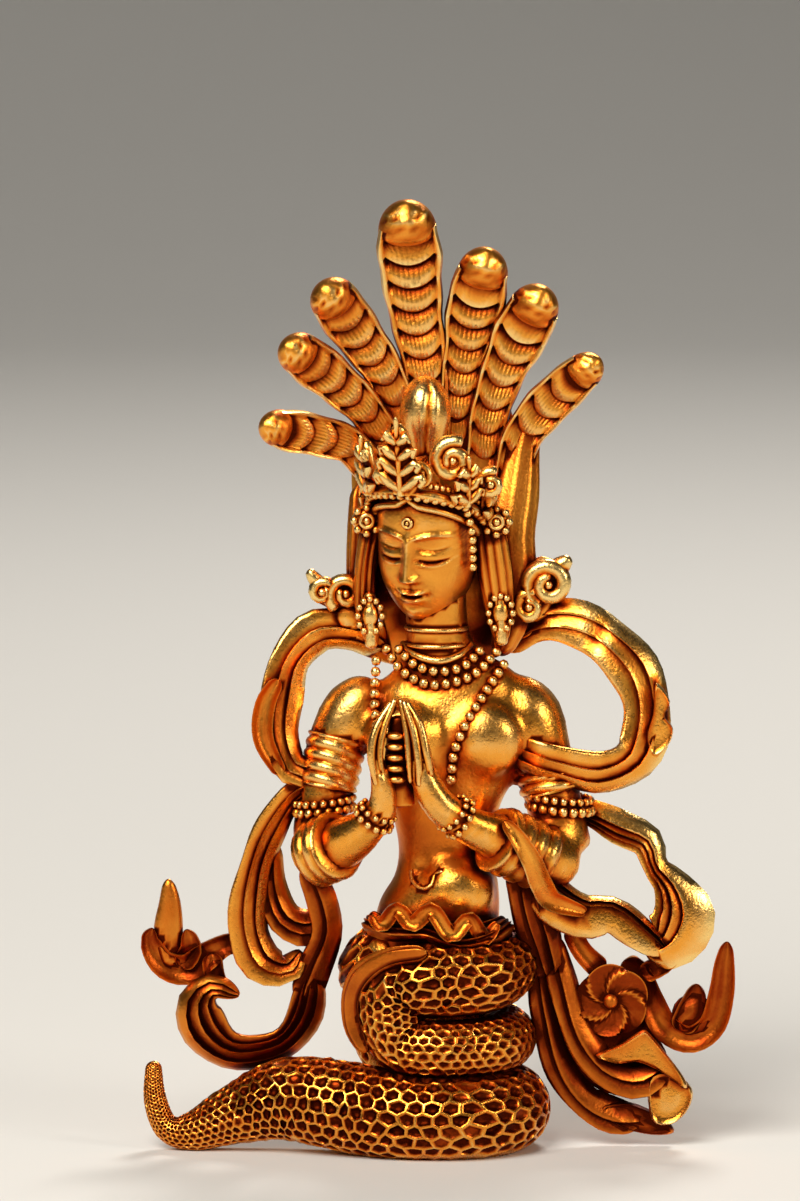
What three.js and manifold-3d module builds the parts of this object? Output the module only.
// Naga kanya: a small gilt casting of a serpent maiden. Her hands are joined before her chest, a fan of
// seven cobras stands behind her crown, a scarf loops out on both sides, and her body ends in the scaled,
// folded coils of a snake whose tail runs out to the viewer's left.
//
// Millimetres. +Z is up, the front looks along -Y, and X runs to the viewer's right. The origin is the
// middle of the flat underside of the coils. The figure is one solid casting, so it is one mesh.

import * as THREE from 'three';
import { mergeVertices } from 'three/addons/utils/BufferGeometryUtils.js';
import Module from 'manifold-3d';

const wasm = await Module();
wasm.setup();

// DRIVING DIMENSIONS

const HEIGHT = 64; // underside of the coils to the tip of the middle cobra
const SCARF_SPAN = 39.2; // leaf tip to leaf tip
// The routes below are measured from the line of her navel. The casting's box has its middle here.
const MIDDLE = [0.63, -0.22, 0];

const BELLY_PLATES = 7; // plates that show on the throat of each cobra
const BEAD = 0.42; // radius of a necklace bead
const TRIANGLES = 9800; // facets of the finished casting
const THINNEST = 0.03; // no facet is narrower than this

// The head is turned to the viewer's left and bowed.
const HEAD = { centre: [-0.1, -0.1, 41.1], bow: 12, roll: 3, turn: -22 };
const HEAD_TURN = [HEAD.bow, HEAD.roll, HEAD.turn].map((degrees) => THREE.MathUtils.degToRad(degrees));
const HEAD_PLACE = new THREE.Matrix4()
  .makeRotationFromEuler(new THREE.Euler(...HEAD_TURN, 'ZYX'))
  .setPosition(...HEAD.centre);

// ROUTES
// A route is a few stations. Each is [x, y, z, half width, half thickness].

const COBRA_ROUTES = [
  [
    [-3.5, 3.4, 44.7, 1.1], [-5.0, 2.9, 47.1, 1.2], [-7.2, 2.1, 47.9, 1.35], [-9.5, 1.1, 48.4, 1.4],
    [-11.3, -0.3, 48.7, 0.9],
  ],
  [
    [-2.4, 3.5, 46.4, 1.1], [-4.0, 3.0, 49.2, 1.25], [-6.3, 2.4, 51.4, 1.45], [-8.3, 1.3, 53.0, 1.55],
    [-9.8, -0.1, 54.1, 0.95],
  ],
  [
    [-1.3, 3.7, 47.2, 1.1], [-2.9, 3.2, 51.7, 1.3], [-4.9, 2.6, 54.7, 1.6], [-6.3, 1.5, 56.7, 1.6],
    [-7.3, 0.3, 58.0, 0.95],
  ],
  [
    [0.3, 3.9, 46.5, 1.2], [-0.3, 3.6, 51.9, 1.5], [-1.0, 3.2, 56.0, 1.8], [-1.4, 2.4, 60.1, 2.1],
    [-1.7, 0.9, 63.3, 1.4],
  ],
  [
    [1.7, 3.9, 45.8, 1.1], [1.9, 3.7, 49.9, 1.3], [2.4, 3.4, 53.2, 1.5], [3.1, 2.8, 56.5, 1.8],
    [3.7, 1.3, 59.6, 1.2],
  ],
  [
    [3.5, 3.7, 44.5, 1.1], [3.9, 3.5, 48.5, 1.3], [4.9, 3.2, 51.9, 1.5], [6.4, 2.6, 55.0, 1.75],
    [7.7, 1.1, 57.3, 1.1],
  ],
  [
    [5.6, 3.2, 39.8, 1.1], [5.8, 3.2, 44.5, 1.2], [6.7, 3.0, 47.3, 1.3], [8.4, 2.4, 49.9, 1.4],
    [11.0, 0.9, 52.6, 1.0],
  ],
];

// The snake below her waist: round the back and the right, forward, one fold at the left, back under
// itself, and then the lowest coil and the tail. The last number is the radius.
const SNAKE_ROUTE = [
  [0.2, 0.6, 15.2, 2.8], [-3.6, 0.7, 11.9, 2.5], [-2.4, 3.4, 11.9, 2.3], [2.0, 3.9, 12.5, 2.4],
  [4.8, 0.6, 12.4, 2.45], [3.4, -2.9, 12.0, 2.5], [0.2, -3.8, 11.9, 2.55], [-2.1, -3.5, 11.4, 2.3],
  [-2.55, -3.5, 9.6, 2.2], [-1.8, -3.9, 7.5, 1.95], [1.0, -4.3, 7.2, 1.95], [4.1, -3.0, 7.3, 1.95],
  [5.1, 0.2, 7.4, 2.0], [3.4, 3.5, 7.6, 2.1], [0.0, 4.1, 7.8, 2.2], [-3.0, 2.2, 7.6, 2.1],
  [-1.8, 2.6, 5.0, 2.2], [0.4, 4.3, 2.7, 2.6], [3.2, 3.7, 2.7, 2.75], [5.1, 1.0, 2.7, 2.8],
  [4.8, -2.2, 2.7, 2.85], [2.4, -4.4, 2.7, 2.85], [-1.2, -4.5, 2.7, 2.85], [-5.0, -3.3, 2.7, 2.8],
  [-9.4, -1.9, 2.5, 2.5], [-13.0, -1.6, 1.8, 1.9], [-15.9, -1.6, 1.2, 1.3], [-17.6, -1.4, 1.5, 0.9],
  [-18.4, -1.1, 3.4, 0.75], [-18.5, -0.8, 5.9, 0.5],
];

// The scarf, from behind her shoulders outwards and down, side by side.
const SCARF_ROUTES = {
  rightLoop: [
    [4.5, 2.7, 33.5, 1.2, 0.7], [6.7, 2.4, 35.0, 1.4, 0.7], [9.0, 1.8, 35.3, 1.5, 0.75],
    [11.3, 1.2, 34.4, 1.65, 0.8],
    [13.7, 0.6, 32.0, 1.7, 0.8], [14.5, 0.2, 29.1, 1.6, 0.8], [13.8, -0.2, 26.4, 1.55, 0.8],
    [11.5, -0.7, 25.4, 1.4, 0.8],
    [8.8, -1.5, 26.0, 1.3, 0.8], [6.6, -1.7, 26.6, 1.2, 0.7],
  ],
  leftLoop: [
    [-3.0, 2.7, 33.5, 1.2, 0.7], [-5.0, 2.3, 34.4, 1.3, 0.7], [-7.5, 1.7, 34.6, 1.45, 0.75],
    [-9.3, 1.0, 32.8, 1.4, 0.8],
    [-9.9, 0.5, 30.1, 1.4, 0.8], [-10.0, 0.2, 27.6, 1.3, 0.8], [-9.2, -0.2, 25.6, 1.1, 0.7],
    [-7.2, -0.4, 25.2, 1.0, 0.7],
  ],
  leftHangOuter: [
    [-7.6, -0.3, 24.6, 0.8, 0.6], [-9.2, -0.3, 23.8, 0.9, 0.6], [-10.8, -0.2, 21.2, 1.1, 0.7],
    [-11.8, 0, 18.1, 1.2, 0.8],
    [-12.3, 0.1, 15.0, 1.3, 0.9], [-11.5, 0.2, 12.5, 1.2, 0.9], [-9.5, 0.3, 11.8, 0.9, 0.8],
  ],
  leftHangInner: [
    [-10.5, 0.2, 20.6, 0.7, 0.6], [-10.5, 0.3, 17.7, 0.9, 0.7], [-9.8, 0.3, 15.5, 1.2, 0.8],
    [-8.1, 0.4, 14.7, 1.3, 0.8],
    [-6.3, 0.4, 15.8, 0.9, 0.7],
  ],
  leftFall: [
    [-8.2, -1.2, 19.4, 1.0, 0.7], [-7.2, -0.6, 16.6, 1.0, 0.7], [-6.9, 0, 14.4, 1.1, 0.8],
    [-7.7, 0.5, 12.0, 1.1, 0.8],
    [-8.5, 0.7, 9.6, 1.2, 0.9],
  ],
  leftCrescent: [
    [-7.9, 0.6, 11.6, 1.0, 0.8], [-8.4, 0.6, 8.7, 1.2, 0.9], [-9.8, 0.4, 6.9, 1.1, 0.9],
    [-11.9, 0.2, 6.3, 1.15, 0.9],
    [-13.7, 0.1, 6.6, 1.4, 0.9], [-15.1, 0, 8.0, 1.6, 0.9], [-15.5, -0.2, 9.8, 1.4, 0.8],
    [-14.5, -0.4, 10.9, 0.9, 0.7],
    [-12.7, -0.6, 10.3, 0.5, 0.5],
  ],
  rightWing: [
    [9.6, 0.3, 22.9, 0.8, 0.6], [11.1, 0.3, 22.4, 0.9, 0.6], [12.8, 0.3, 21.5, 1.25, 0.7],
    [14.5, 0.2, 20.6, 1.1, 0.7],
    [15.1, 0.1, 18.9, 0.85, 0.7], [16.3, 0, 17.5, 1.1, 0.7], [17.3, -0.2, 15.7, 1.7, 0.7],
    [16.9, -0.4, 13.9, 1.6, 0.7],
    [15.0, -0.5, 13.0, 0.8, 0.7],
  ],
  rightWingLower: [
    [7.2, -1.6, 18.4, 1.2, 0.8], [8.4, -1.4, 16.6, 1.2, 0.8], [10.3, -1.1, 15.7, 1.1, 0.8],
    [12.1, -0.8, 15.9, 1.0, 0.8],
    [13.6, -0.7, 14.8, 1.1, 0.8], [15.8, -0.6, 13.0, 0.9, 0.8],
  ],
  rightFall: [
    [6.2, -2.2, 19.6, 1.3, 0.9], [6.6, -1.6, 17.0, 1.4, 0.9], [7.4, -0.7, 14.2, 1.4, 0.9],
    [8.0, -0.1, 11.5, 1.3, 0.9],
  ],
  rightStrandOuter: [
    [7.3, 0.2, 13.7, 0.9, 0.7], [7.7, 0.4, 9.3, 1.0, 0.8], [8.5, 0.5, 5.9, 1.1, 0.8],
    [10.0, 0.4, 3.4, 1.1, 0.8],
    [12.1, 0.3, 2.1, 1.2, 0.8], [14.4, 0.2, 1.7, 0.9, 0.8],
  ],
  rightStrandInner: [
    [8.0, -0.2, 14.4, 0.9, 0.7], [8.9, -0.1, 11.0, 1.0, 0.8], [10.0, -0.1, 7.7, 1.1, 0.8],
    [11.7, -0.2, 5.3, 1.2, 0.9],
    [14.0, -0.3, 4.5, 1.2, 0.9], [16.0, -0.3, 5.7, 0.8, 0.7],
  ],
};

// Folds, stems and leaf tips with a plain oval section.
const FOLD_ROUTES = {
  rightLoopCurl: [
    [14.6, 0.3, 30.9, 0.5, 0.5], [15.6, 0.2, 29.9, 0.6, 0.55], [15.9, 0.1, 28.5, 0.6, 0.55],
    [15.0, 0, 26.9, 0.5, 0.5],
  ],
  leftLoopFold: [
    [-10.2, 0.2, 31.4, 0.5, 0.5], [-11.0, 0.1, 29.9, 0.6, 0.6], [-11.1, 0, 27.6, 0.6, 0.6],
    [-9.9, -0.1, 25.4, 0.5, 0.5],
  ],
  leftStem: [
    [-11.2, 0.5, 13.4, 0.7, 0.6], [-13.3, 0.4, 13.7, 0.6, 0.5], [-14.9, 0.3, 12.9, 0.8, 0.6],
    [-16.3, 0.2, 12.0, 0.9, 0.7],
    [-17.8, 0.1, 12.4, 0.8, 0.7], [-18.7, 0, 13.8, 0.6, 0.5], [-18.6, -0.1, 14.8, 0.3, 0.3],
  ],
  leftStemTie: [[-14.6, 0.2, 13.0, 0.6, 0.5], [-14.4, 0, 11.6, 0.6, 0.5], [-13.9, -0.1, 10.6, 0.5, 0.5]],
  leftLobe: [[-16.7, 0.1, 12.1, 0.6, 0.5], [-16.0, 0, 13.4, 0.65, 0.5], [-16.3, -0.1, 14.7, 0.35, 0.3]],
  leftTip: [
    [-17.3, 0.2, 12.1, 0.5, 0.5], [-17.5, 0.1, 14.4, 0.85, 0.55], [-17.4, 0, 16.4, 0.65, 0.5],
    [-17.5, -0.1, 18.1, 0.3, 0.3],
  ],
  rightStem: [
    [12.9, 0.4, 12.4, 0.7, 0.5], [13.9, 0.5, 11.6, 0.8, 0.6], [14.8, 0.4, 9.8, 0.8, 0.6],
    [15.9, 0.3, 7.9, 0.8, 0.6], [17.5, 0.1, 7.3, 0.8, 0.7],
    [18.9, -0.1, 8.3, 0.8, 0.7], [19.5, -0.2, 10.4, 0.75, 0.6], [19.7, -0.3, 12.4, 0.6, 0.5],
    [19.9, -0.3, 13.9, 0.3, 0.3],
  ],
  rightLobe: [[16.7, 0.1, 7.8, 0.7, 0.6], [17.6, 0, 9.5, 0.8, 0.6], [17.9, -0.1, 11.0, 0.4, 0.4]],
  rightPointedFold: [
    [11.2, 0, 6.9, 0.6, 0.5], [13.6, -0.5, 7.6, 0.9, 0.6], [15.8, -0.6, 6.3, 1.1, 0.7],
    [17.0, -0.4, 4.4, 0.6, 0.5],
  ],
  rightTailFold: [
    [15.6, -0.2, 5.6, 0.8, 0.7], [16.7, -0.2, 4.1, 1.0, 0.7], [15.6, -0.1, 2.2, 1.2, 0.7],
    [14.9, 0, 0.9, 0.5, 0.5],
  ],
  rightWingTie: [[9.4, 0.4, 14.8, 0.6, 0.5], [10.2, 0.3, 13.2, 0.6, 0.5], [11.6, 0.2, 11.8, 0.7, 0.5]],
  rightLink: [[16.6, -0.2, 13.6, 0.6, 0.5], [15.6, 0, 12.4, 0.6, 0.5], [14.2, 0.3, 11.6, 0.6, 0.5]],
};

const TORSO = [
  [0.3, 0.3, 13.0, 4.0, 3.4], [0.5, 0.1, 15.0, 4.2, 3.4], [1.0, -0.1, 17.4, 3.7, 3.0],
  [1.0, 0.2, 20.0, 3.1, 2.5],
  [1.0, 0.2, 23.0, 3.7, 2.7], [1.1, 0.1, 26.5, 5.0, 2.9], [1.1, 0.3, 29.6, 5.6, 2.6],
  [0.9, 0.5, 31.6, 4.6, 2.2],
  [0.7, 0.5, 33.0, 2.7, 2.0], [0.5, 0.4, 34.6, 2.1, 1.9], [0.3, 0.2, 38.0, 2.1, 2.0],
];

const ARM_ROUTES = {
  rightUpper: [
    [4.4, 0.5, 30.7, 1.5, 1.5], [6.3, 0.4, 29.2, 2.4, 2.2], [7.4, 0.2, 26.5, 2.1, 2.0],
    [8.3, 0, 23.2, 1.9, 1.9], [9.1, -0.3, 19.5, 1.9, 1.8],
  ],
  rightFore: [
    [9.3, -0.3, 19.2, 1.9, 1.8], [7.2, -2.2, 20.0, 1.9, 1.8], [4.6, -3.9, 21.4, 1.6, 1.5],
    [2.3, -4.9, 22.5, 1.2, 1.1], [0.6, -5.3, 23.4, 1.0, 1.0],
  ],
  leftUpper: [
    [-3.1, 0.6, 30.9, 1.3, 1.4], [-4.9, 0.5, 29.4, 2.2, 2.0], [-6.4, 0.3, 26.8, 1.9, 1.8],
    [-7.0, 0, 24.0, 1.75, 1.7], [-7.6, -0.3, 20.1, 1.8, 1.7],
  ],
  leftFore: [
    [-7.8, -0.4, 19.7, 1.8, 1.7], [-6.6, -2.2, 20.4, 1.8, 1.7], [-5.2, -3.8, 21.4, 1.6, 1.5],
    [-3.9, -4.8, 22.4, 1.25, 1.2], [-3.1, -5.3, 23.2, 1.0, 1.0],
  ],
};

// The scarf wound round the arms: a thicker stretch of the arm with the turns as rings.
const WRAPS = {
  rightUpper: { from: [7.6, 0.2, 26.6], to: [8.3, 0, 23.8], radius: 2.25, turns: 4 },
  leftUpper: { from: [-6.1, 0.3, 27.9], to: [-6.9, 0, 24.1], radius: 2.05, turns: 5 },
  rightFore: { from: [4.2, -4.0, 21.5], to: [7.6, -1.9, 19.7], radius: 2.35, turns: 4 },
  leftFore: { from: [-6.0, -3.2, 20.9], to: [-7.7, -1.2, 19.9], radius: 2.35, turns: 3 },
};

const HAND_ROUTES = [
  [
    [0.7, -5.3, 23.1, 0.95, 0.9], [0.3, -5.5, 24.8, 0.95, 0.95], [-0.4, -5.6, 26.7, 0.8, 1.0],
    [-0.9, -5.4, 28.7, 0.65, 0.9], [-1.7, -5.1, 30.7, 0.4, 0.5],
  ],
  [
    [-3.2, -5.3, 23.0, 0.95, 0.9], [-2.9, -5.5, 24.6, 0.8, 0.95], [-3.3, -5.6, 26.7, 0.6, 1.0],
    [-2.9, -5.4, 28.7, 0.5, 0.9], [-2.1, -5.1, 30.7, 0.35, 0.5],
  ],
];
const FINGER_RUNGS = { x: -2.05, y: -5.3, low: 25.2, high: 28.4, count: 4, radii: [0.95, 0.5, 0.34] };

// SECTIONS
// A section is a ring of [across, outward] pairs, in half widths and half thicknesses.

function oval(sides) {
  return Array.from({ length: sides }, (_, i) => {
    const angle = (2 * Math.PI * i) / sides;
    return [Math.cos(angle), Math.sin(angle)];
  });
}

// A ribbon whose front is gathered into ridges, with a nearly flat back.
function gathered(ridges) {
  const front = Array.from({ length: 2 * ridges + 1 }, (_, i) => {
    const across = 1 - i / ridges;
    const crown = Math.sqrt(1 - across * across);
    return [across, i % 2 ? 0.35 + 0.65 * crown : 0.45 * crown];
  });
  return [...front, [-0.6, -0.85], [0.6, -0.85]];
}

// A cobra's neck: a rolled rim on each side of the belly plates, and a rounded back.
function hood(plate) {
  return [[1, 0], [0.8, 0.8], [0.45, plate], [-0.45, plate], [-0.8, 0.8], [-1, 0], [-0.5, -1], [0.5, -1]];
}

// CURVES

// A Catmull-Rom curve through rows of numbers, at u rows from the first.
function splineAt(rows, u) {
  const last = rows.length - 1;
  const i = Math.min(Math.floor(u), last - 1);
  const f = u - i;
  const mirrored = (end, inner) => end.map((v, j) => 2 * v - inner[j]);
  const a = i > 0 ? rows[i - 1] : mirrored(rows[0], rows[1]);
  const d = i + 2 <= last ? rows[i + 2] : mirrored(rows[last], rows[last - 1]);
  const [b, c] = [rows[i], rows[i + 1]];
  return b.map((v, j) => {
    const slope = (c[j] - a[j]) * f;
    const square = (2 * a[j] - 5 * v + 4 * c[j] - d[j]) * f * f;
    const cube = (3 * v - a[j] - 3 * c[j] + d[j]) * f * f * f;
    return v + 0.5 * (slope + square + cube);
  });
}

// The same curve as a function of the length along it.
function measured(rows) {
  const parts = 16;
  const table = [{ u: 0, length: 0 }];
  let before = new THREE.Vector3(...rows[0].slice(0, 3));
  for (let k = 1; k <= parts * (rows.length - 1); k++) {
    const point = new THREE.Vector3(...splineAt(rows, k / parts).slice(0, 3));
    table.push({ u: k / parts, length: table[k - 1].length + point.distanceTo(before) });
    before = point;
  }
  const total = table[table.length - 1].length;
  const at = (length) => {
    const k = Math.max(1, table.findIndex((row) => row.length >= Math.min(length, total) - 1e-9));
    const [low, high] = [table[k - 1], table[k]];
    const share = (Math.max(length, 0) - low.length) / (high.length - low.length);
    return splineAt(rows, low.u + share * (high.u - low.u));
  };
  return { total, at };
}

// Lengths for the rings of a sweep: even ones, and closer ones where an end is rounded.
function ringLengths(total, spacing, [startRound, endRound]) {
  const shares = [0, 0.3];
  const start = startRound ? shares.map((s) => s * startRound) : [];
  const end = endRound ? shares.map((s) => total - s * endRound).reverse() : [];
  const even = total - startRound - endRound;
  const steps = Math.max(1, Math.round(even / spacing));
  const middle = Array.from({ length: steps + 1 }, (_, i) => startRound + (even * i) / steps);
  return [...start, ...middle, ...end];
}

// SOLIDS

function solid(points, triangles) {
  const make = (order) => new wasm.Manifold(new wasm.Mesh({
    numProp: 3,
    vertProperties: new Float32Array(points.flat()),
    triVerts: new Uint32Array(order.flat()),
  }));
  const made = make(triangles);
  return made.volume() < 0 ? make(triangles.map(([a, b, c]) => [a, c, b])) : made;
}

function solidOf(geometry, matrix) {
  geometry.deleteAttribute('normal');
  geometry.deleteAttribute('uv');
  const merged = mergeVertices(geometry.applyMatrix4(matrix), 1e-4);
  return new wasm.Manifold(new wasm.Mesh({
    numProp: 3,
    vertProperties: merged.attributes.position.array,
    triVerts: new Uint32Array(merged.index.array),
  }));
}

function ellipsoid(centre, radii, [across, rings] = [8, 6], place = new THREE.Matrix4()) {
  const matrix = place.clone().multiply(new THREE.Matrix4().makeTranslation(...centre));
  return solidOf(new THREE.SphereGeometry(1, across, rings), matrix.scale(new THREE.Vector3(...radii)));
}

// Sweeps a section along a route. A fixed facing keeps the section's outward side towards that direction,
// and without one the section is carried along with no twist.
function sweep(route, { section, spacing, ends = [0.6, 0.6], facing = [0, -1, 0], radiusAt }) {
  const { total, at } = measured(route);
  const lengths = ringLengths(total, spacing, ends);
  const points = [];
  const triangles = [];
  const rings = [];
  const carried = new THREE.Vector3(0, 0, 1);
  lengths.forEach((length, i) => {
    const [x, y, z, half, thick = half] = at(length);
    const ahead = new THREE.Vector3(...at(Math.min(total, length + 0.05)).slice(0, 3));
    const behind = new THREE.Vector3(...at(Math.max(0, length - 0.05)).slice(0, 3));
    const tangent = ahead.sub(behind).normalize();
    const outward = facing ? new THREE.Vector3(...facing) : carried;
    outward.addScaledVector(tangent, -outward.dot(tangent)).normalize();
    const side = new THREE.Vector3().crossVectors(tangent, outward).normalize();
    const inset = Math.min(ends[0] ? length / ends[0] : 1, ends[1] ? (total - length) / ends[1] : 1, 1);
    const shrink = Math.sqrt(Math.max(0, 1 - (1 - inset) ** 2)) * (radiusAt ? radiusAt(length, total) : 1);
    const ring = typeof section === 'function' ? section(length / total, i) : section;
    const first = points.length;
    if (inset < 1e-6) points.push([x, y, z]);
    else {
      ring.forEach(([a, b]) => {
        const p = new THREE.Vector3(x, y, z);
        p.addScaledVector(side, a * half * shrink).addScaledVector(outward, b * thick * shrink);
        points.push(p.toArray());
      });
    }
    rings.push({ first, size: points.length - first });
  });
  const cap = (ring, atStart) => {
    if (ring.size === 1) return;
    const centre = new THREE.Vector3();
    for (let k = 0; k < ring.size; k++) centre.add(new THREE.Vector3(...points[ring.first + k]));
    points.push(centre.divideScalar(ring.size).toArray());
    for (let k = 0; k < ring.size; k++) {
      const [p, q] = [ring.first + k, ring.first + ((k + 1) % ring.size)];
      triangles.push(atStart ? [p, points.length - 1, q] : [q, points.length - 1, p]);
    }
  };
  for (let r = 0; r + 1 < rings.length; r++) {
    const [low, high] = [rings[r], rings[r + 1]];
    const sides = Math.max(low.size, high.size);
    for (let k = 0; k < sides; k++) {
      const next = (k + 1) % sides;
      const [p, q] = low.size === 1 ? [low.first, low.first] : [low.first + k, low.first + next];
      const [s, t] = high.size === 1 ? [high.first, high.first] : [high.first + k, high.first + next];
      if (p !== q) triangles.push([p, q, t]);
      if (s !== t) triangles.push([p, t, s]);
    }
  }
  cap(rings[0], true);
  cap(rings[rings.length - 1], false);
  return solid(points, triangles);
}

// A sweep with an oval section of a few sides.
function tube(route, sides, spacing, ends = [0, 0]) {
  return sweep(route, { section: oval(sides), spacing, ends });
}

// PARTS OF THE FIGURE

function snake() {
  const coils = sweep(SNAKE_ROUTE, { section: oval(9), spacing: 2.5, ends: [0, 0.5], facing: null });
  const core = tube([[0.4, 0, -0.5, 4.2, 4.0], [0.4, 0, 7.5, 4.2, 4.0], [0.0, 0.6, 14.5, 3.9, 3.8]], 8, 7);
  return [coils, core];
}

function cobras() {
  const plates = (_, i) => hood(i % 2 ? 0.3 : 0.62);
  return COBRA_ROUTES.flatMap((route) => {
    const { total, at } = measured(route);
    const flattened = route.map(([x, y, z, half]) => [x, y, z, half, 0.62 * half]);
    const spacing = total / (2 * BELLY_PLATES - 1);
    const neck = sweep(flattened, { section: plates, spacing, ends: [0, 0.9] });
    return [neck, cobraHead(at(total), at(total - 1.5))];
  });
}

// A small wedge-shaped head, bent forwards over the throat.
function cobraHead([x, y, z, half], [x0, , z0]) {
  const [dx, dz] = [(x - x0) / 1.5, (z - z0) / 1.5];
  const nose = [
    [x - 0.9 * dx, y + 0.9, z - 0.9 * dz, 1.1 * half, 0.9],
    [x - 0.2 * dx, y + 0.1, z - 0.2 * dz, 1.15 * half, 0.8],
    [x + 0.1 * dx, y - 0.9, z + 0.05 * dz - 0.2, 0.75 * half, 0.55],
  ];
  return sweep(nose, { section: oval(6), spacing: 1.2, ends: [0, 0.5], facing: [dx, 0, dz] });
}

function scarf() {
  const bands = Object.values(SCARF_ROUTES).map((route) => (
    sweep(route, { section: gathered(3), spacing: 2.8, ends: [0, 0] })
  ));
  const folds = Object.values(FOLD_ROUTES).map((route) => tube(route, 5, 2.0, [0, 0.4]));
  const behind = tube([[-4.5, 2.6, 33.8, 1.2], [0.5, 3.0, 32.6, 1.2], [6.0, 2.6, 34.5, 1.2]], 6, 4);
  const wraps = Object.values(WRAPS).map(({ from, to, radius, turns }) => {
    const rings = (length, total) => 1 - 0.14 * (Math.round((length / total) * 2 * turns) % 2);
    const span = new THREE.Vector3(...to).distanceTo(new THREE.Vector3(...from));
    return sweep(
      [[...from, radius], [...to, radius]],
      { section: oval(8), spacing: span / (2 * turns), ends: [0, 0], radiusAt: rings },
    );
  });
  const rosette = ellipsoid([11.8, 0.1, 9.9], [2.1, 0.8, 2.0], [10, 4]);
  const rosetteHeart = ellipsoid([11.9, -0.6, 9.9], [0.8, 0.5, 0.8], [6, 4]);
  const cup = ellipsoid([17.6, 0.1, 8.9], [1.5, 0.6, 1.5], [8, 4]);
  const backing = ellipsoid([12.4, 0.5, 6.3], [3.9, 0.8, 3.4], [8, 4]);
  return [...bands, ...folds, behind, ...wraps, rosette, rosetteHeart, cup, backing];
}

function body() {
  const torso = sweep(TORSO, { section: oval(12), spacing: 2.5, ends: [0, 0] });
  const breasts = [[3.5, -2.2, 27.9], [-1.6, -2.4, 27.7]].map((at) => ellipsoid(at, [2.5, 2.0, 2.4], [8, 6]));
  const belly = ellipsoid([1.6, -1.7, 17.6], [2.8, 1.9, 2.4]);
  const arms = Object.values(ARM_ROUTES).map((route) => tube(route, 8, 2.4, [0.9, 0.9]));
  return [torso, ...breasts, belly, ...arms];
}

function hands() {
  const palms = HAND_ROUTES.map((route) => tube(route, 6, 1.9, [0, 0.5]));
  const { x, y, low, high, count, radii } = FINGER_RUNGS;
  const fingers = Array.from({ length: count }, (_, i) => (
    ellipsoid([x, y, low + ((high - low) * i) / (count - 1)], radii, [6, 3])
  ));
  const between = tube([[-1.9, -4.9, 23.6, 1.2, 0.45], [-1.9, -4.9, 29.4, 0.8, 0.4]], 5, 6);
  return [...palms, ...fingers, between];
}

// Places a route made about the middle of an upright head that looks along -Y.
function onHead(route) {
  return route.map(([x, y, z, ...size]) => [...new THREE.Vector3(x, y, z).applyMatrix4(HEAD_PLACE), ...size]);
}

function head() {
  const skull = new THREE.SphereGeometry(1, 14, 12).rotateX(Math.PI / 2);
  const position = skull.attributes.position;
  for (let i = 0; i < position.count; i++) {
    const [x, y, z] = [position.getX(i), position.getY(i), position.getZ(i)];
    const below = Math.min(Math.max(0, -z), 0.999);
    const full = Math.sqrt((1 - below ** 3) / (1 - below * below));
    const jaw = 1 - 0.3 * below ** 2;
    position.setXYZ(i, 3.35 * x * full * jaw, 3.6 * y * (y < 0 ? full : 1), (z < 0 ? 5.9 : 4.2) * z);
  }
  const face = solidOf(skull, HEAD_PLACE);
  const bridge = [[0, -3.4, 0.9, 0.35], [0, -3.9, -0.7, 0.4], [0, -4.2, -1.9, 0.6]];
  const nose = tube(onHead(bridge), 5, 1.5, [0, 0.3]);
  const mouth = ellipsoid([0, -3.2, -3.1], [0.95, 0.5, 0.38], [6, 4], HEAD_PLACE);
  const lids = [-1.3, 1.3].map((x) => ellipsoid([x, -2.95, 0], [0.85, 0.5, 0.4], [6, 4], HEAD_PLACE));
  return [face, nose, mouth, ...lids];
}

function hair() {
  const cap = ellipsoid([0, 0.5, 1.0], [3.6, 3.7, 4.2], [10, 6], HEAD_PLACE);
  const knot = tube([[0.2, 0.9, 46.0, 2.0], [0.1, 0.9, 48.4, 1.7], [0.1, 0.9, 50.9, 1.4]], 8, 1.8, [0, 1.6]);
  const locks = [
    [
      [4.0, 0.6, 43.2, 1.2, 1.3], [4.9, 0.9, 40.0, 1.2, 1.3], [5.0, 1.0, 37.0, 1.1, 1.2],
      [4.8, 0.7, 33.4, 1.0, 1.0],
    ],
    [
      [-3.7, 0.9, 43.2, 0.8, 1.2], [-4.2, 1.2, 40.0, 0.8, 1.3], [-4.0, 1.2, 37.0, 0.8, 1.2],
      [-3.6, 0.8, 33.6, 0.8, 1.0],
    ],
  ].map((route) => tube(route, 6, 3));
  const back = tube([
    [0.3, 3.2, 49.5, 4.2, 1.2], [0.5, 3.4, 44.5, 5.0, 1.5], [0.7, 3.3, 39.5, 4.8, 1.7],
    [0.8, 2.7, 34.5, 3.8, 1.4],
    [1.0, 2.4, 29.5, 2.6, 1.0],
  ], 8, 4, [0.5, 1.5]);
  return [cap, knot, ...locks, back];
}

// A string of beads: a thin cord that swells once for each bead.
function beadString(route, bead) {
  const { total } = measured(route);
  const count = Math.round(total / (2 * bead));
  const swell = (length) => ((Math.round((length / total) * 2 * count) % 2) ? 1 : 0.45);
  return sweep(route.map(([x, y, z]) => [x, y, z, bead]), {
    section: oval(4), spacing: total / (2 * count), ends: [0, 0], radiusAt: swell,
  });
}

// A level arc from one bearing to another, where 0 is straight ahead.
function arcRoute([radiusX, radiusY], z, [from, to], thick) {
  const steps = 8;
  return Array.from({ length: steps + 1 }, (_, i) => {
    const bearing = THREE.MathUtils.degToRad(from + ((to - from) * i) / steps);
    return [radiusX * Math.sin(bearing), -radiusY * Math.cos(bearing), z, thick, thick];
  });
}

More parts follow.
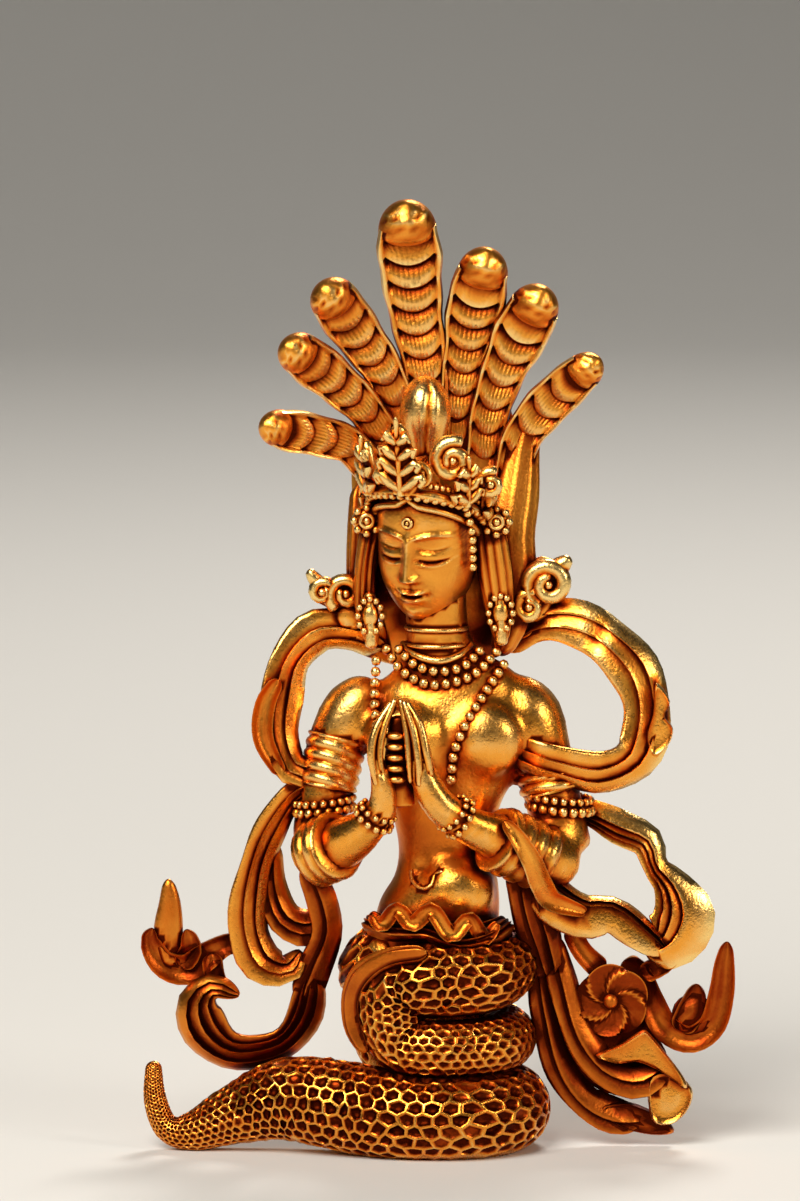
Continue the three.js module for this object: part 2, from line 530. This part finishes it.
function scroll([x, y, z], [outer, inner], start, turns, thick) {
  const steps = Math.ceil(Math.abs(turns) * 6);
  const route = Array.from({ length: steps + 1 }, (_, i) => {
    const share = i / steps;
    const angle = THREE.MathUtils.degToRad(start + 360 * turns * share);
    const radius = outer + (inner - outer) * share;
    return [x + radius * Math.cos(angle), y, z + radius * Math.sin(angle), thick * (1 - 0.35 * share)];
  });
  return sweep(route, { section: oval(4), spacing: 1.0, ends: [0, 0] });
}

// A crown leaf, upright and leaning out, on a ring round the head.
function crownLeaf([bearing, height]) {
  const [s, c] = [Math.sin(THREE.MathUtils.degToRad(bearing)), Math.cos(THREE.MathUtils.degToRad(bearing))];
  const profile = [[3.4, 3.4, 1.35], [3.8, 4.6, 1.5], [3.9, 5.7, 1.15], [3.9, 3.4 + height, 0.35]];
  const leaf = profile.map(([radius, z, half]) => [radius * s, -radius * c, z, half, 0.5]);
  const facing = new THREE.Vector3(s, -c, 0).transformDirection(HEAD_PLACE).toArray();
  return sweep(onHead(leaf), { section: oval(6), spacing: 1.8, ends: [0, 0.5], facing });
}

function crown() {
  const band = sweep(
    onHead(arcRoute([3.55, 3.6], 3.4, [-115, 115], 0.55)),
    { section: oval(5), spacing: 2.2, ends: [0, 0], facing: [0, 0, 1] },
  );
  const leaves = [[0, 4.2], [52, 3.4], [-52, 3.4], [104, 3.0], [-104, 3.0]].map(crownLeaf);
  const scrolls = [
    scroll([1.3, -3.7, 46.6], [1.2, 0.3], 60, 1.3, 0.6),
    scroll([3.4, -2.7, 45.7], [1.0, 0.3], 60, 1.3, 0.5),
    scroll([7.8, 1.4, 37.7], [1.5, 0.4], 240, -1.5, 0.55),
    scroll([6.2, 1.4, 36.0], [0.9, 0.3], 60, 1.2, 0.45),
    scroll([-5.6, 1.4, 37.2], [1.15, 0.3], 240, -1.3, 0.42),
    scroll([-7.2, 1.4, 37.15], [0.8, 0.25], 0, 1.2, 0.4),
  ];
  const plates = [
    [[7.5, 1.8, 38.2], [1.4, 0.45, 1.4]], [[6.6, 1.8, 36.4], [1.7, 0.5, 1.3]],
    [[-6.0, 1.8, 37.1], [1.8, 0.45, 1.1]], [[-5.2, 1.8, 35.6], [1.2, 0.5, 1.0]],
  ].map(([at, radii]) => ellipsoid(at, radii, [6, 4]));
  const leafTips = [
    [[8.2, 1.5, 38.0, 0.5, 0.4], [9.0, 1.4, 38.7, 0.45, 0.4], [9.5, 1.3, 39.6, 0.2, 0.2]],
    [[-7.2, 1.5, 37.2, 0.5, 0.4], [-7.8, 1.4, 38.0, 0.4, 0.4], [-8.1, 1.3, 38.8, 0.2, 0.2]],
  ].map((route) => tube(route, 4, 1));
  return [band, ...leaves, ...scrolls, ...plates, ...leafTips];
}

function jewellery() {
  const earrings = [[4.7, -0.7, 36.1], [-4.0, -0.7, 35.9]].flatMap(([x, y, z]) => [
    ellipsoid([x, y, z], [0.85, 0.5, 1.15], [6, 4]),
    tube([[x - 0.1, y + 0.5, z + 4.2, 0.5], [x, y + 0.1, z + 0.6, 0.5], [x + 0.1, y, z - 2.2, 0.4]], 4, 2),
  ]);
  const necklace = [
    [-2.9, -1.0, 33.6], [-2.0, -1.8, 32.4], [-0.3, -2.3, 31.5], [1.5, -2.3, 31.6], [3.1, -1.7, 32.2],
    [4.4, -0.7, 33.4],
  ];
  const torc = tube([
    [-1.8, -0.6, 34.2, 0.4], [-0.8, -1.4, 33.2, 0.45], [0.6, -1.7, 32.8, 0.45], [2.0, -1.4, 33.3, 0.45],
    [2.9, -0.5, 34.3, 0.4],
  ], 4, 1.5);
  const longStrands = [
    [[4.9, -1.0, 32.6], [3.6, -2.3, 30.8], [2.4, -3.0, 29.0], [1.6, -3.5, 27.0], [1.4, -4.0, 25.2]],
    [[-3.6, -1.2, 32.9], [-3.7, -2.5, 30.4], [-3.5, -3.6, 28.2]],
  ];
  const bracelets = [
    [[-4.3, -5.4, 23.8], [-3.8, -6.1, 22.9], [-2.9, -6.5, 22.4], [-2.2, -6.1, 21.9]],
    [[0.3, -6.2, 22.5], [1.1, -6.4, 22.9], [1.6, -6.0, 23.6], [1.6, -5.2, 24.2]],
  ];
  const beads = [necklace, ...longStrands, ...bracelets].map((route) => beadString(route, BEAD));
  const armlets = [[8.75, 0, 23.0, 2.1], [-7.1, -0.1, 22.9, 1.95]].map(([x, y, z, radius]) => (
    solidOf(new THREE.TorusGeometry(radius, BEAD, 4, 10), new THREE.Matrix4().makeTranslation(x, y, z))
  ));
  return [...earrings, torc, ...beads, ...armlets];
}

// The crumpled sash tied where the waist meets the coils.
function sash() {
  const roll = sweep([
    [-4.2, -1.2, 15.4, 0.8, 0.7], [-2.6, -3.0, 15.2, 0.9, 0.8], [-0.2, -3.9, 15.4, 1.0, 0.8],
    [2.0, -4.0, 14.6, 1.0, 0.8], [4.0, -2.9, 14.9, 0.9, 0.8], [5.2, -1.0, 15.2, 0.8, 0.7],
  ], { section: oval(6), spacing: 2.2, ends: [0, 0], facing: [0, 0, 1] });
  const pleats = [
    [[-2.4, -3.9, 15.6, 0.4], [-0.2, -4.5, 15.9, 0.4], [1.5, -4.7, 14.2, 0.35]],
    [[0.8, -4.6, 15.6, 0.35], [2.3, -4.6, 14.0, 0.4], [4.2, -3.4, 14.9, 0.35]],
  ].map((route) => sweep(route, { section: oval(4), spacing: 1.8, ends: [0, 0] }));
  return [roll, ...pleats];
}

// ASSEMBLY

function figure() {
  const makers = [snake, body, sash, hands, head, hair, cobras, crown, jewellery, scarf];
  const below = new THREE.Matrix4().makeTranslation(0, 0, -HEIGHT / 2);
  const ground = solidOf(new THREE.BoxGeometry(2 * SCARF_SPAN, SCARF_SPAN, HEIGHT), below);
  return wasm.Manifold.union(makers.flatMap((make) => make())).subtract(ground);
}

// Gives back the join as points and triangles, with the points that only its seams left behind taken out.
// A point is merged into a neighbour where the surface stays closed and no face beside it turns over, the
// least visible first, until the given number of triangles is left. The flat underside stays flat.
function thinned({ numProp, numVert, vertProperties, triVerts }, target) {
  const points = [];
  const faces = [];
  for (let i = 0; i < numVert; i++) points.push(new THREE.Vector3().fromArray(vertProperties, i * numProp));
  for (let i = 0; i < triVerts.length; i += 3) faces.push([...triVerts.subarray(i, i + 3)]);
  const around = points.map(() => new Set());
  faces.forEach((face, f) => face.forEach((v) => around[v].add(f)));
  const edge = (a, b) => points[b].clone().sub(points[a]);
  const normal = ([a, b, c]) => edge(a, b).cross(edge(a, c));
  const lengthOf = (a, b) => edge(a, b).length();
  const longest = ([a, b, c]) => Math.max(lengthOf(a, b), lengthOf(b, c), lengthOf(c, a)) + 1e-9;
  const neighbours = (v) => new Set([...around[v]].flatMap((f) => faces[f].filter((w) => w !== v)));
  const cost = (from, to, nearFrom) => {
    const nearTo = neighbours(to);
    if ([...nearFrom].filter((v) => nearTo.has(v)).length !== 2) return Infinity;
    if (points[from].z < 0.001 && points[to].z >= 0.001) return Infinity;
    let bend = 0;
    for (const f of around[from]) {
      if (!faces[f].includes(to)) {
        const moved = faces[f].map((v) => (v === from ? to : v));
        const [before, after] = [normal(faces[f]), normal(moved)];
        const [wide, narrow] = [before.length() / longest(faces[f]), after.length() / longest(moved)];
        if (narrow < Math.min(THINNEST, wide)) return Infinity;
        const match = wide < 0.1 * THINNEST ? 1 : before.dot(after) / (before.length() * after.length());
        if (match < 0.25) return Infinity;
        bend = Math.max(bend, (1 - match) * Math.sqrt(after.length()));
      }
    }
    return bend + 0.02 * points[from].distanceTo(points[to]);
  };
  let count = faces.length;
  for (let limit = 0.01; count > target && limit < 1; limit *= 1.3) {
    for (let from = 0; from < points.length && count > target; from++) {
      const nearFrom = around[from].size ? neighbours(from) : [];
      const [best, to] = [...nearFrom].reduce(([least, at], v) => {
        const value = cost(from, v, nearFrom);
        return value < least ? [value, v] : [least, at];
      }, [limit, -1]);
      if (to >= 0) {
        for (const f of around[from]) {
          if (faces[f].includes(to)) {
            faces[f].forEach((v) => v !== from && around[v].delete(f));
            faces[f] = null;
            count -= 1;
          } else {
            faces[f] = faces[f].map((v) => (v === from ? to : v));
            around[to].add(f);
          }
        }
        around[from].clear();
      }
    }
  }
  return { points, faces: faces.filter(Boolean) };
}

function meshOf(made, name, material) {
  const { points, faces } = thinned(made.getMesh(), TRIANGLES);
  const used = [...new Set(faces.flat())];
  const place = new Map(used.map((v, i) => [v, i]));
  const geometry = new THREE.BufferGeometry().setFromPoints(used.map((v) => points[v]));
  geometry.setIndex(faces.flat().map((v) => place.get(v)));
  const mesh = new THREE.Mesh(geometry, material);
  mesh.name = name;
  mesh.position.set(...MIDDLE).negate();
  return mesh;
}

const gilt = new THREE.MeshStandardMaterial({ color: 0xd9982f, metalness: 1, roughness: 0.32 });
const nagaKanya = new THREE.Group();
nagaKanya.add(meshOf(figure(), 'naga_kanya_figure', gilt));

export default nagaKanya;
